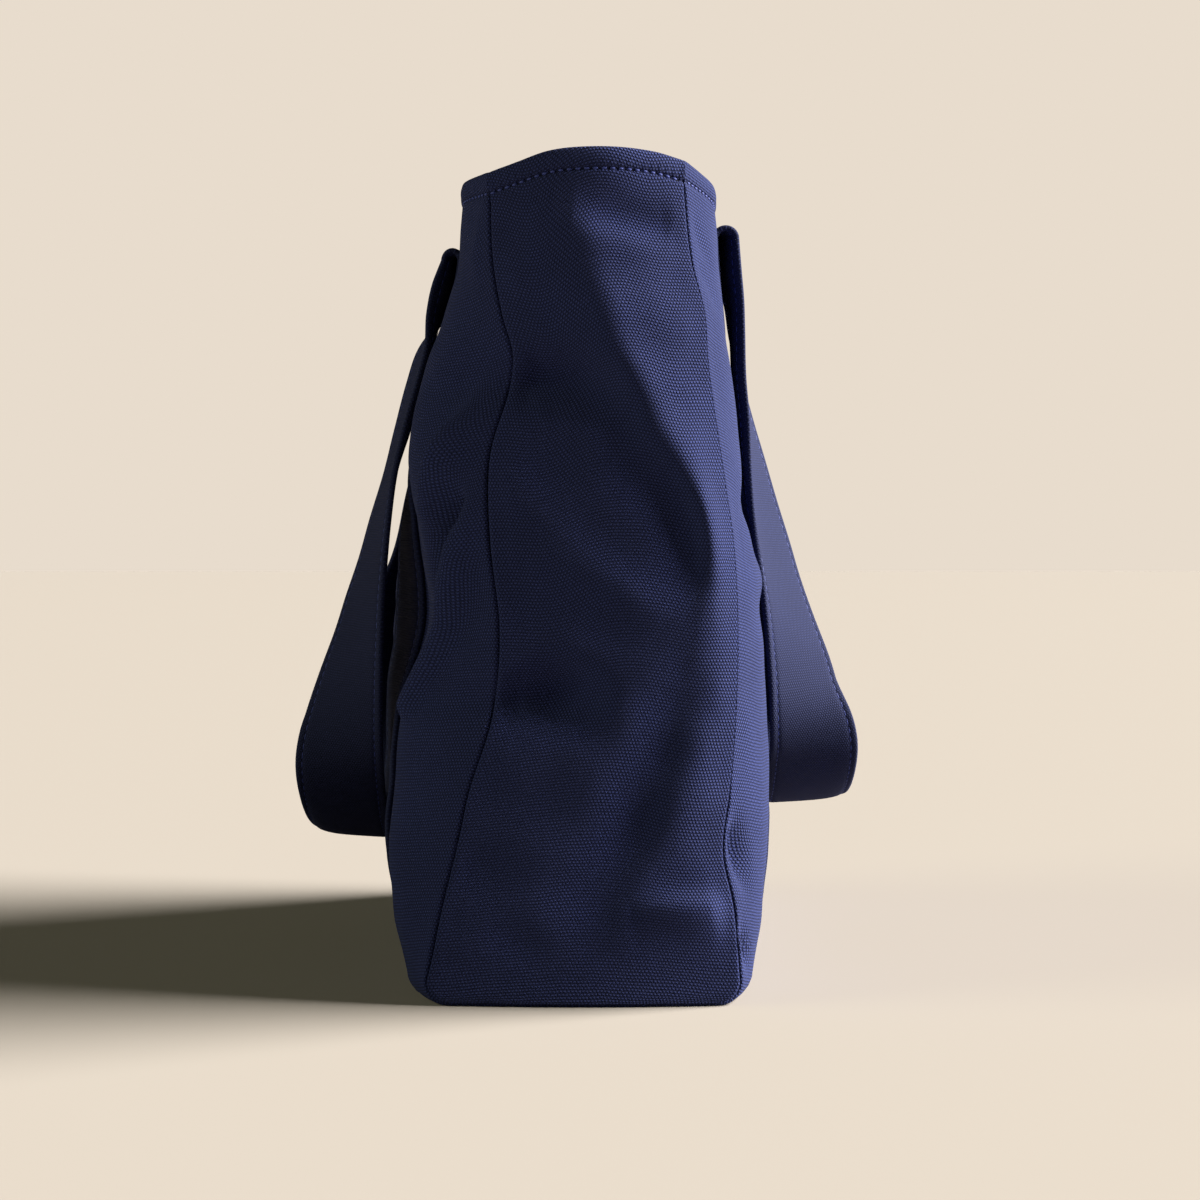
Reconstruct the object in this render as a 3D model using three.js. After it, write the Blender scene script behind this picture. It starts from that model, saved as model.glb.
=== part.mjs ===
// A canvas tote bag that stands empty on its base, with two long straps whose handle loops
// hang down outside. Millimetres, +Z up. +X runs along the bag, from the far end panel to the
// near one, and +Y from the front to the back. The bag rests on z = 0.
import * as THREE from 'three';

// Driving sizes
const halfLength = 185;
const endDrawIn = 4;
const clothThickness = 2;
const hemThickness = 3;
const hemDepth = 10;
const cornerRadius = 10;
const seamGap = 0.5;
const strapWidth = 41;
const strapThickness = 3;
const strapX = 75;
const strapGap = 0.8;
const strapEndHeight = 30;
const foldRadius = 3.4;
const bulgeX = 150;
const farFoldShare = 0.8;

// The handle loops hang further out at the front, so the bag stands this far back of centre
const backShift = 3.75;

// How many steps each sheet is cut into
const lengthSteps = 28;
const wallSteps = 21;
const cornerSteps = 5;
const baseSteps = 4;
const gussetSteps = 14;
const strapAcross = 2;
const foldSteps = 7;
const legSteps = 14;
const turnSteps = 8;

// The bag's length steps crowd towards its ends by this share of a quarter wave
const endCrowding = 0.8;

// Level sections of the bag. At each height, how far the front and the back stand from the
// middle plane at the end seam, at the bulge beside it, under the strap and in the middle,
// then how far the end panel bows out and where across it the bow's crest lies.
const sections = [
  { z: 10, seamFront: 65, bulgeFront: 74.5, strapFront: 75, midFront: 74,
    seamBack: 65.4, bulgeBack: 71.5, strapBack: 73, midBack: 74, bow: 5, crest: 2 },
  { z: 40, seamFront: 58.5, bulgeFront: 81, strapFront: 82.5, midFront: 85,
    seamBack: 62.7, bulgeBack: 76, strapBack: 77, midBack: 79.5, bow: 7, crest: 14 },
  { z: 62, seamFront: 53, bulgeFront: 82, strapFront: 83.5, midFront: 88,
    seamBack: 58, bulgeBack: 77.5, strapBack: 77, midBack: 79.5, bow: 8, crest: 26 },
  { z: 87, seamFront: 47.5, bulgeFront: 78.8, strapFront: 83.5, midFront: 89.5,
    seamBack: 60.4, bulgeBack: 78, strapBack: 77.5, midBack: 80.5, bow: 9, crest: 34 },
  { z: 120, seamFront: 37.4, bulgeFront: 75.5, strapFront: 82, midFront: 90,
    seamBack: 62.8, bulgeBack: 77, strapBack: 76.5, midBack: 80, bow: 9, crest: 39 },
  { z: 156, seamFront: 35, bulgeFront: 63, strapFront: 76, midFront: 90,
    seamBack: 63.6, bulgeBack: 75, strapBack: 75, midBack: 80, bow: 9, crest: 46 },
  { z: 189, seamFront: 38.7, bulgeFront: 67, strapFront: 76.5, midFront: 86,
    seamBack: 61.9, bulgeBack: 70, strapBack: 69, midBack: 73.5, bow: 10, crest: 47 },
  { z: 223, seamFront: 39, bulgeFront: 73.3, strapFront: 74.5, midFront: 79,
    seamBack: 57, bulgeBack: 66.5, strapBack: 66.5, midBack: 70, bow: 11.5, crest: 37 },
  { z: 264, seamFront: 29, bulgeFront: 66, strapFront: 67.2, midFront: 71,
    seamBack: 51.2, bulgeBack: 62, strapBack: 60.5, midBack: 64, bow: 13, crest: 17 },
  { z: 284, seamFront: 34, bulgeFront: 58.5, strapFront: 61, midFront: 65,
    seamBack: 49.8, bulgeBack: 59, strapBack: 58, midBack: 61, bow: 13.6, crest: 10 },
  { z: 303, seamFront: 37.4, bulgeFront: 53.4, strapFront: 56.5, midFront: 60,
    seamBack: 45, bulgeBack: 57.5, strapBack: 57, midBack: 59, bow: 14, crest: 4 },
  { z: 341, seamFront: 38.6, bulgeFront: 49.8, strapFront: 52, midFront: 55,
    seamBack: 41, bulgeBack: 54, strapBack: 55, midBack: 56, bow: 15, crest: 2 },
];

// Height of the rim along the front and back, by distance from the middle of the bag
const panelRim = [
  { at: 0, front: 337, back: 337.5 },
  { at: strapX, front: 339.5, back: 338 },
  { at: bulgeX, front: 340.5, back: 339 },
  { at: halfLength, front: 341, back: 346 },
];

// Height of the rim across an end panel, from its front seam to its back seam
const gussetRim = [
  { at: 0, height: 341 },
  { at: 0.15, height: 344.5 },
  { at: 0.3, height: 348 },
  { at: 0.5, height: 349.5 },
  { at: 0.85, height: 348.5 },
  { at: 1, height: 346 },
];

// Main folds of the end panel: a ridge, or a trough where rise is negative, that runs through
// three points across the panel (y) and up it (z)
const gussetFolds = [
  { y0: -24, z0: 258, y1: -4, z1: 264, y2: 16, z2: 244, rise: -4.5, halfWidth: 10 },
  { y0: -28, z0: 129, y1: -12, z1: 134, y2: 2, z2: 128, rise: -4.5, halfWidth: 12 },
  { y0: 41, z0: 132, y1: 30, z1: 88, y2: 2, z2: 34, rise: -4, halfWidth: 11 },
  { y0: 31, z0: 222, y1: 45, z1: 202, y2: 46, z2: 176, rise: -3.5, halfWidth: 9 },
  { y0: -32, z0: 214, y1: -4, z1: 184, y2: 34, z2: 156, rise: 2.6, halfWidth: 11 },
];

// Main folds of the front beside its near seam: through three points along the bag (x) and up
const frontFolds = [
  { y0: 187, z0: 257, y1: 179, z1: 230, y2: 162, z2: 203, rise: 4, halfWidth: 7 },
  { y0: 178, z0: 216, y1: 170, z1: 193, y2: 158, z2: 170, rise: -5, halfWidth: 8 },
  { y0: 184, z0: 232, y1: 184, z1: 189, y2: 156, z2: 122, rise: 4, halfWidth: 8 },
];

// The hanging loops. At each height, how far a loop's inner edge stands from the middle plane
// and how many degrees the strap has turned from flat against the bag towards edge-on to it.
const loops = {
  front: {
    side: 'Front', direction: -1, foldTop: 317.5, turnTop: 112, bottom: 51, spread: 85,
    rows: [
      { z: 50, inner: 91.5, twist: 90 },
      { z: 80, inner: 91.5, twist: 87 },
      { z: 100, inner: 91.6, twist: 74 },
      { z: 130, inner: 91.3, twist: 47 },
      { z: 160, inner: 90.4, twist: 28 },
      { z: 190, inner: 87.5, twist: 17 },
      { z: 220, inner: 84.8, twist: 10.5 },
      { z: 255, inner: 77, twist: 9 },
      { z: 285, inner: 70.5, twist: 1 },
      { z: 303, inner: 67.8, twist: -1 },
      { z: 314, inner: 65.3, twist: -1 },
    ],
  },
  back: {
    side: 'Back', direction: 1, foldTop: 327.5, turnTop: 128, bottom: 67, spread: 85,
    rows: [
      { z: 60, inner: 84, twist: 90 },
      { z: 88, inner: 84, twist: 88 },
      { z: 105, inner: 83.9, twist: 70 },
      { z: 130, inner: 83, twist: 46 },
      { z: 160, inner: 81.5, twist: 30 },
      { z: 190, inner: 78.6, twist: 19 },
      { z: 215, inner: 76.8, twist: 11 },
      { z: 243, inner: 74.2, twist: 3 },
      { z: 262, inner: 72.4, twist: -4 },
      { z: 295, inner: 70.8, twist: -6 },
      { z: 323, inner: 69, twist: -5 },
    ],
  },
};

// A smooth curve through one column of a table
function along(rows, key, column, x) {
  const last = rows.length - 1;
  const at = Math.min(Math.max(x, rows[0][key]), rows[last][key]);
  let i = 0;
  while (i < last - 1 && at > rows[i + 1][key]) i += 1;
  const slope = (k) => (rows[k + 1][column] - rows[k][column]) / (rows[k + 1][key] - rows[k][key]);
  const tangent = (k) => {
    if (k === 0) return slope(0);
    if (k === last) return slope(last - 1);
    return (slope(k - 1) + slope(k)) / 2;
  };
  const step = rows[i + 1][key] - rows[i][key];
  const t = (at - rows[i][key]) / step;
  return cubic(t, rows[i][column], rows[i + 1][column], step * tangent(i), step * tangent(i + 1));
}

function cubic(t, start, end, startSlope, endSlope) {
  const rest = 1 - t;
  return (1 + 2 * t) * rest * rest * start + t * rest * rest * startSlope
    + t * t * (3 - 2 * t) * end - t * t * rest * endSlope;
}

const section = (column, z) => along(sections, 'z', column, z);

const degrees = (angle) => THREE.MathUtils.degToRad(angle);

// The far end is the near end turned half round, with the sides swapped
const nearSide = (side, x) => {
  if (x >= 0) return side;
  return side === 'Front' ? 'Back' : 'Front';
};

// How far soft folds lift a point of a panel
function foldLift(folds, y, z) {
  let lift = 0;
  for (const fold of folds) {
    let nearest = Infinity;
    let place = 0;
    const steps = 24;
    for (let i = 0; i <= steps; i += 1) {
      const t = i / steps;
      const a = (1 - t) * (1 - t);
      const b = 2 * t * (1 - t);
      const c = t * t;
      const dy = y - (a * fold.y0 + b * fold.y1 + c * fold.y2);
      const dz = z - (a * fold.z0 + b * fold.z1 + c * fold.z2);
      const distance = Math.hypot(dy, dz);
      if (distance < nearest) {
        nearest = distance;
        place = t;
      }
    }
    const fade = 0.35 + 0.65 * Math.sin(Math.PI * place);
    lift += fold.rise * fade * Math.exp(-((nearest / fold.halfWidth) ** 2));
  }
  return lift;
}

// Distance of the front's or back's outer face from the middle plane
function panelReach(side, x, z) {
  const ends = nearSide(side, x);
  const seam = section(`seam${ends}`, z);
  const bulge = section(`bulge${ends}`, z);
  const strap = section(`strap${side}`, z);
  const middle = section(`mid${side}`, z);
  const out = Math.abs(x);
  const innerSlope = (strap - middle) / strapX;
  const outerSlope = (bulge - strap) / (bulgeX - strapX);
  const endSlope = (seam - bulge) / (halfLength - bulgeX);
  const strapSlope = (innerSlope + outerSlope) / 2;
  const bulgeSlope = 0.35 * outerSlope + 0.1 * endSlope;
  let reach;
  if (out <= strapX) {
    reach = cubic(out / strapX, middle, strap, 0, strapX * strapSlope);
  } else if (out <= bulgeX) {
    const step = bulgeX - strapX;
    reach = cubic((out - strapX) / step, strap, bulge, step * strapSlope, step * bulgeSlope);
  } else {
    const step = halfLength - bulgeX;
    const t = Math.min((out - bulgeX) / step, 1);
    reach = cubic(t, bulge, seam, step * bulgeSlope, step * 1.7 * endSlope);
  }
  if (ends === 'Front') {
    const share = x >= 0 ? 1 : farFoldShare;
    const edge = Math.min(1, Math.max(0, (halfLength - out) / 12));
    reach += share * edge * foldLift(frontFolds, out, z);
  }
  return reach;
}

// Where the end panel stands: y on the near end, which the far end repeats turned half round
function endReach(y, z) {
  const front = -section('seamFront', z);
  const back = section('seamBack', z);
  const crest = section('crest', z);
  const left = Math.min(Math.max((y - front) / (crest - front), 0), 1);
  const right = Math.min(Math.max((back - y) / (back - crest), 0), 1);
  const bow = section('bow', z) * Math.sin((Math.PI / 2) * Math.min(left, right));
  const drawIn = endDrawIn * Math.sin(Math.PI * Math.min(z / 341, 1));
  return halfLength - drawIn + bow;
}

function gussetReach(y, z, foldShare) {
  const front = -section('seamFront', z);
  const back = section('seamBack', z);
  const edge = Math.min(1, Math.max(0, Math.min(y - front, back - y) / 12));
  return endReach(y, z) + foldShare * edge * foldLift(gussetFolds, y, z);
}

// A closed sheet from a grid of points on its outer face, made thick towards the inside
function sheetGeometry(grid, thicknessAt) {
  const rows = grid.length;
  const columns = grid[0].length;
  const positions = [];
  for (const row of grid) {
    for (const point of row) positions.push(point.x, point.y, point.z);
  }
  const span = (a, b) => new THREE.Vector3().subVectors(b, a);
  for (let r = 0; r < rows; r += 1) {
    for (let c = 0; c < columns; c += 1) {
      const across = span(grid[r][Math.max(c - 1, 0)], grid[r][Math.min(c + 1, columns - 1)]);
      const up = span(grid[Math.max(r - 1, 0)][c], grid[Math.min(r + 1, rows - 1)][c]);
      const inward = up.cross(across).normalize().multiplyScalar(thicknessAt(r, c));
      const point = grid[r][c].clone().add(inward);
      positions.push(point.x, point.y, point.z);
    }
  }
  const inside = rows * columns;
  const index = [];
  const quad = (a, b, c, d) => index.push(a, b, c, a, c, d);
  for (let r = 0; r < rows - 1; r += 1) {
    for (let c = 0; c < columns - 1; c += 1) {
      const a = r * columns + c;
      quad(a, a + 1, a + columns + 1, a + columns);
      quad(inside + a, inside + a + columns, inside + a + columns + 1, inside + a + 1);
    }
  }
  const top = (rows - 1) * columns;
  for (let c = 0; c < columns - 1; c += 1) {
    quad(c, inside + c, inside + c + 1, c + 1);
    quad(top + c + 1, inside + top + c + 1, inside + top + c, top + c);
  }
  for (let r = 0; r < rows - 1; r += 1) {
    const left = r * columns;
    const right = left + columns - 1;
    quad(left + columns, inside + left + columns, inside + left, left);
    quad(right, inside + right, inside + right + columns, right + columns);
  }
  return indexedGeometry(positions, index);
}

function indexedGeometry(positions, index) {
  const geometry = new THREE.BufferGeometry();
  geometry.setAttribute('position', new THREE.Float32BufferAttribute(positions, 3));
  geometry.setIndex(index);
  geometry.computeVertexNormals();
  return geometry;
}

const wallHeight = (side, x, share) => {
  const rim = along(panelRim, 'at', nearSide(side, x).toLowerCase(), Math.abs(x));
  return cornerRadius + (rim - cornerRadius) * share;
};

const hemShare = (z, rim) => THREE.MathUtils.smoothstep(z, rim - hemDepth - 3, rim - hemDepth);

// One length of canvas: down the front, round the base and up the back
function bodyGeometry() {
  const grid = [];
  const thickness = [];
  const crowding = (Math.PI / 2) * endCrowding;
  const addRow = (place) => {
    const row = [];
    const depths = [];
    for (let c = 0; c <= lengthSteps; c += 1) {
      const share = Math.sin(crowding * ((2 * c) / lengthSteps - 1)) / Math.sin(crowding);
      const end = Math.sign(share);
      const flat = place(share * halfLength);
      const edgeY = flat.y - Math.sign(flat.y) * (clothThickness + seamGap);
      const bow = endReach(end * edgeY, flat.z) - halfLength;
      const x = share * halfLength + end * bow * THREE.MathUtils.smoothstep(Math.abs(share), 0.5, 1);
      row.push(new THREE.Vector3(x, flat.y, flat.z));
      depths.push(flat.depth);
    }
    grid.push(row);
    thickness.push(depths);
  };
  const wallRow = (side, direction, share) => addRow((x) => {
    const z = wallHeight(side, x, share);
    const rim = wallHeight(side, x, 1);
    const depth = clothThickness + (hemThickness - clothThickness) * hemShare(z, rim);
    return { y: direction * panelReach(side, x, z), z, depth };
  });
  const cornerRow = (side, direction, angle) => addRow((x) => {
    const foot = panelReach(side, x, cornerRadius) - cornerRadius;
    const y = direction * (foot + cornerRadius * Math.cos(angle));
    return { y, z: cornerRadius * (1 - Math.sin(angle)), depth: clothThickness };
  });
  const quarter = Math.PI / 2;
  for (let i = wallSteps; i >= 0; i -= 1) wallRow('Back', 1, i / wallSteps);
  for (let i = 1; i <= cornerSteps; i += 1) cornerRow('Back', 1, quarter * (i / cornerSteps));
  for (let i = 1; i < baseSteps; i += 1) {
    addRow((x) => {
      const back = panelReach('Back', x, cornerRadius) - cornerRadius;
      const front = cornerRadius - panelReach('Front', x, cornerRadius);
      return { y: back + (front - back) * (i / baseSteps), z: 0, depth: clothThickness };
    });
  }
  for (let i = cornerSteps; i >= 1; i -= 1) cornerRow('Front', -1, quarter * (i / cornerSteps));
  for (let i = 0; i <= wallSteps; i += 1) wallRow('Front', -1, i / wallSteps);
  return sheetGeometry(grid, (r, c) => thickness[r][c]);
}

// An end panel, inside the body's two edges and above its base
function gussetGeometry(direction, foldShare) {
  const inset = clothThickness + seamGap;
  const arcRadius = cornerRadius - inset;
  const heights = [];
  for (let i = 0; i < cornerSteps; i += 1) {
    heights.push(cornerRadius - arcRadius * Math.cos((Math.PI / 2) * (i / cornerSteps)));
  }
  const grid = [];
  const thickness = [];
  const addRow = (heightAt) => {
    const row = [];
    const depths = [];
    for (let c = 0; c <= gussetSteps; c += 1) {
      const share = c / gussetSteps;
      const z = heightAt(share);
      const drop = Math.max(cornerRadius - z, 0);
      const draw = cornerRadius - Math.sqrt(Math.max(arcRadius * arcRadius - drop * drop, 0));
      const front = -section('seamFront', z) + draw;
      const back = section('seamBack', z) - draw;
      const y = front + (back - front) * share;
      const x = gussetReach(y, z, foldShare);
      const rim = along(gussetRim, 'at', 'height', share);
      row.push(new THREE.Vector3(direction * x, direction * y, z));
      depths.push(clothThickness + (hemThickness - clothThickness) * hemShare(z, rim));
    }
    grid.push(row);
    thickness.push(depths);
  };
  for (const height of heights) addRow(() => height);
  for (let i = 0; i <= wallSteps; i += 1) {
    addRow((share) => {
      const rim = along(gussetRim, 'at', 'height', share);
      return cornerRadius + (rim - cornerRadius) * (i / wallSteps);
    });
  }
  return sheetGeometry(grid, (r, c) => thickness[r][c]);
}

// Half of a strap, as rows of points across it, from its sewn end up the bag, over the fold
// and down to the middle of the hanging loop. The end is 1 near and -1 far.
function strapRows(loop, end) {
  const { side, direction, foldTop, turnTop, bottom, spread, rows } = loop;
  const half = strapWidth / 2;
  const innerAt = (z) => along(rows, 'z', 'inner', z);
  const twistAt = (z) => degrees(along(rows, 'z', 'twist', z));
  const across = Array.from({ length: strapAcross + 1 }, (_, i) => (2 * i) / strapAcross - 1);
  const lift = strapGap + strapThickness / 2;
  const foldFoot = foldTop - foldRadius - 1;
  const spine = [];
  const sewnRow = (z) => across.map((q) => {
    const x = end * (strapX - half * q);
    return new THREE.Vector3(x, direction * (panelReach(side, x, z) + lift), z);
  });
  spine.push(sewnRow(strapEndHeight));
  for (let i = 0; i <= wallSteps; i += 1) {
    const z = wallHeight(side, strapX, i / wallSteps);
    if (z > strapEndHeight + 5 && z < foldFoot - 5) spine.push(sewnRow(z));
  }
  const foot = sewnRow(foldFoot);
  spine.push(foot);
  for (let i = 1; i <= foldSteps; i += 1) {
    const angle = Math.PI * (i / foldSteps);
    const share = (1 - Math.cos(angle)) / 2;
    const z = foldFoot + Math.sin(angle) * (foldTop - foldFoot);
    const twist = twistAt(foldFoot);
    spine.push(across.map((q, k) => {
      const x = end * (strapX - half * q * (1 - share + share * Math.cos(twist)));
      const hanging = innerAt(foldFoot) + half * Math.sin(twist) * (q + 1);
      const y = Math.abs(foot[k].y) * (1 - share) + hanging * share;
      return new THREE.Vector3(x, direction * y, z);
    }));
  }
  for (let i = 1; i <= legSteps; i += 1) {
    const z = foldFoot + (turnTop - foldFoot) * (i / legSteps);
    const drift = THREE.MathUtils.smoothstep(foldFoot - z, 60, foldFoot - turnTop);
    const centre = strapX + (spread - strapX) * drift;
    const twist = twistAt(z);
    spine.push(across.map((q) => new THREE.Vector3(
      end * (centre - half * q * Math.cos(twist)),
      direction * (innerAt(z) + half * Math.sin(twist) * (q + 1)),
      z,
    )));
  }
  for (let i = 1; i <= turnSteps; i += 1) {
    const angle = (Math.PI / 2) * (i / turnSteps);
    const depth = turnTop - bottom;
    const tangent = new THREE.Vector2(-spread * Math.sin(angle), -depth * Math.cos(angle)).normalize();
    const z = turnTop - depth * Math.sin(angle);
    const twist = twistAt(z);
    const flat = half * Math.cos(twist);
    spine.push(across.map((q) => new THREE.Vector3(
      end * (spread * Math.cos(angle) + flat * q * tangent.y),
      direction * (innerAt(z) + half * Math.sin(twist) * (q + 1)),
      z - flat * q * tangent.x,
    )));
  }
  return spine;
}

function strapGeometry(loop) {
  const far = strapRows(loop, -1).slice(0, -1).reverse();
  const spine = strapRows(loop, 1).concat(far);
  const columns = strapAcross + 1;
  const positions = [];
  const span = (a, b) => new THREE.Vector3().subVectors(b, a);
  spine.forEach((row, r) => {
    const before = spine[Math.max(r - 1, 0)];
    const after = spine[Math.min(r + 1, spine.length - 1)];
    const faces = [[], []];
    row.forEach((point, c) => {
      const across = span(row[Math.max(c - 1, 0)], row[Math.min(c + 1, columns - 1)]);
      const normal = across.cross(span(before[c], after[c])).normalize();
      normal.multiplyScalar(strapThickness / 2);
      faces[0].push(point.clone().add(normal));
      faces[1].push(point.clone().sub(normal));
    });
    for (const point of faces[0].concat(faces[1].reverse())) {
      positions.push(point.x, point.y, point.z);
    }
  });
  const ring = 2 * columns;
  const last = (spine.length - 1) * ring;
  const index = [];
  const quad = (a, b, c, d) => index.push(a, b, c, a, c, d);
  for (let r = 0; r < spine.length - 1; r += 1) {
    for (let k = 0; k < ring; k += 1) {
      const next = (k + 1) % ring;
      quad(r * ring + k, r * ring + next, (r + 1) * ring + next, (r + 1) * ring + k);
    }
  }
  for (let k = 0; k < strapAcross; k += 1) {
    quad(k, ring - 1 - k, ring - 2 - k, k + 1);
    quad(last + k, last + k + 1, last + ring - 2 - k, last + ring - 1 - k);
  }
  return indexedGeometry(positions, index);
}

// Navy cotton canvas for the bag, and the same canvas folded and pressed flat for the straps
function canvasMaterial(color, roughness) {
  return new THREE.MeshStandardMaterial({ color, roughness, metalness: 0 });
}

function piece(name, geometry, material) {
  const mesh = new THREE.Mesh(geometry, material);
  mesh.name = name;
  return mesh;
}

const bag = new THREE.Group();
bag.add(piece('body', bodyGeometry(), canvasMaterial('#232a55', 0.92)));
bag.add(piece('gusset_near', gussetGeometry(1, 1), canvasMaterial('#232a55', 0.92)));
bag.add(piece('gusset_far', gussetGeometry(-1, farFoldShare), canvasMaterial('#232a55', 0.92)));
bag.add(piece('strap_front', strapGeometry(loops.front), canvasMaterial('#20264d', 0.88)));
bag.add(piece('strap_back', strapGeometry(loops.back), canvasMaterial('#20264d', 0.88)));

bag.position.y = backShift;

export default bag;
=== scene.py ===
import math

import bpy
import numpy as np
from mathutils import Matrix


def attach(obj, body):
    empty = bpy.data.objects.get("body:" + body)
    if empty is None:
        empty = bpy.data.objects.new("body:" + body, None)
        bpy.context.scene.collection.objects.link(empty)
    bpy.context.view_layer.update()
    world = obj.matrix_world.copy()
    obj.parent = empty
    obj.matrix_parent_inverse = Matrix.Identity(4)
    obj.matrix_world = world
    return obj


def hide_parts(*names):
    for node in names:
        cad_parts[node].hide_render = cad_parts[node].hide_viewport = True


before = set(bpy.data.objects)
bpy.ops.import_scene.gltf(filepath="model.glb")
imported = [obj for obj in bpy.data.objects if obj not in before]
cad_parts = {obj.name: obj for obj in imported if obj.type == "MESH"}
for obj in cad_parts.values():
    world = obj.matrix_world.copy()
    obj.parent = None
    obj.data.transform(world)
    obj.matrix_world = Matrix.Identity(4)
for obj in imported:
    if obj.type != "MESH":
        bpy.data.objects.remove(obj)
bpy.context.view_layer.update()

# Driving sizes, as the solids have them
MM = 0.001
HALF_LENGTH = 185
END_DRAW_IN = 4
CORNER_RADIUS = 10
STRAP_WIDTH = 41
STRAP_X = 75
STRAP_END_HEIGHT = 30
STRAP_FOLD_RADIUS = 3.4
BULGE_X = 150
RIM_HEIGHT = 341
FAR_FOLD_SHARE = 0.8
BACK_SHIFT = 3.75

# Sizes of the real cloth, which is thinner than the solids
CLOTH_THICKNESS = 1.2
STRAP_THICKNESS = 2.7
STRAP_LIFT = 1.7
HEM_RADIUS = 1.35
HEM_STITCH_DEPTH = 9
HEM_BAND = 12
HEM_PUFF = 0.9
HEM_DRAW = 0.7
HEM_DRAW_WIDTH = 0.9
HEM_ALLOWANCE = 0.8
ALLOWANCE = 9
EDGE_STITCH = 3.6
EDGE_GROOVE = 0.38
EDGE_GROOVE_WIDTH = 0.7
HEM_STITCH_PITCH = 3.5
STRAP_STITCH_PITCH = 4.2

# How finely each cloth is cut. The body's columns crowd towards its ends by a share of a
# quarter wave.
BODY_COLUMNS = 116
END_CROWDING = 0.8
WALL_ROWS = 112
CORNER_ROWS = 6
BASE_ROWS = 34
GUSSET_COLUMNS = 104
GUSSET_ROWS = 200
HEM_DEPTHS = (14, 13, 12, 11.2, 10.6, 10.1, 9.7, 9.3, 9, 8.7, 8.3, 7.9, 7.4, 6.7, 6, 5, 4, 3, 2.1,
              HEM_RADIUS)
HEM_ROLL_ROWS = 7
HEM_LAYER_ROWS = 15
EDGE_TURN_COLUMNS = 5
ALLOWANCE_COLUMNS = 3
STRAP_SEWN_ROWS = 130
STRAP_FOLD_ROWS = 14
STRAP_LEG_ROWS = 83
STRAP_TURN_ROWS = 45

# Depth below the rim that is noted for cloth that isn't part of the hem
FAR_BELOW = 300.0

# Over how many rows and columns to each side the weave is evened out
EVEN_ROWS = 7
EVEN_COLUMNS = 9

# Level sections of the bag. At each height z, how far the front and the back stand from the
# middle plane at the end seam, at the bulge beside it, under the strap and in the middle, then
# how far the end panel bows out and where across it the crest of that bow lies.
SECTIONS = {
    "z": (10, 40, 62, 87, 120, 156, 189, 223, 264, 284, 303, 341),
    "seam_front": (65, 58.5, 53, 47.5, 37.4, 35, 38.7, 39, 29, 34, 37.4, 38.6),
    "bulge_front": (74.5, 81, 82, 78.8, 75.5, 63, 67, 73.3, 66, 58.5, 53.4, 49.8),
    "strap_front": (75, 82.5, 83.5, 83.5, 82, 76, 76.5, 74.5, 67.2, 61, 56.5, 52),
    "mid_front": (74, 85, 88, 89.5, 90, 90, 86, 79, 71, 65, 60, 55),
    "seam_back": (65.4, 62.7, 58, 60.4, 62.8, 63.6, 61.9, 57, 51.2, 49.8, 45, 41),
    "bulge_back": (71.5, 76, 77.5, 78, 77, 75, 70, 66.5, 62, 59, 57.5, 54),
    "strap_back": (73, 77, 77, 77.5, 76.5, 75, 69, 66.5, 60.5, 58, 57, 55),
    "mid_back": (74, 79.5, 79.5, 80.5, 80, 80, 73.5, 70, 64, 61, 59, 56),
    "bow": (5, 7, 8, 9, 9, 9, 10, 11.5, 13, 13.6, 14, 15),
    "crest": (2, 14, 26, 34, 39, 46, 47, 37, 17, 10, 4, 2),
}

# Height of the rim along the front and back, by distance from the middle of the bag
PANEL_RIM = {
    "at": (0, STRAP_X, BULGE_X, HALF_LENGTH),
    "front": (337, 339.5, 340.5, 341),
    "back": (337.5, 338, 339, 346),
}

# Height of the rim across an end panel, by share of the way from its front to its back seam
GUSSET_RIM = {
    "at": (0, 0.15, 0.3, 0.5, 0.85, 1),
    "height": (341, 344.5, 348, 349.5, 348.5, 346),
}

# The end seams: the radius of the turned edges by height, and the gap left between the cloths.
# They lie full down the front seam and tight down the back seam, and flat under the hem.
SEAMS = {
    "front": {"z": (10, 20, 328, 333), "radius": (1, 1.6, 1.6, 0.35),
              "gap": (0.1, 0.14, 0.14, 0.02)},
    "back": {"z": (10, 80, 95, 285, 312, 333, 338), "radius": (1, 1, 0.35, 0.35, 1, 1, 0.35),
             "gap": (0.1, 0.1, 0.02, 0.02, 0.1, 0.1, 0.02)},
}

# Folds: a ridge, or a trough where rise is negative, that runs through three points. Each point
# is (across, up) on an end panel, and (along from the middle, up) on the front and back. The two
# widths lie left and right of the path, and the two ends tell how much of the rise is left there.
GUSSET_FOLDS = (
    {"path": ((-22, 258), (-4, 264), (16, 244)), "rise": -8, "widths": (9, 14),
     "ends": (0.5, 0.4)},
    {"path": ((-26, 129), (-12, 134), (2, 128)), "rise": -7, "widths": (9, 14),
     "ends": (0.5, 0.6)},
    {"path": ((41, 132), (30, 88), (2, 34)), "rise": -4, "widths": (10, 14),
     "ends": (0.5, 0.3)},
    {"path": ((31, 222), (45, 202), (46, 176)), "rise": -4.6, "widths": (7, 12),
     "ends": (0.3, 0.4)},
    {"path": ((44, 222), (56, 198), (54, 170)), "rise": 3.2, "widths": (10, 7),
     "ends": (0.3, 0.3)},
    {"path": ((-32, 214), (-4, 184), (34, 156)), "rise": 2.6, "widths": (10, 14),
     "ends": (0.3, 0.3)},
    {"path": ((0, 318), (14, 262), (46, 206)), "rise": 2.4, "widths": (9, 8), "ends": (0.5, 0.5)},
    {"path": ((-4, 324), (20, 321), (36, 317)), "rise": -4.5, "widths": (9, 7),
     "ends": (0.2, 0.3)},
    {"path": ((20, 38), (40, 43), (60, 40)), "rise": 5.6, "widths": (6, 11), "ends": (0.3, 0.4)},
)
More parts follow.
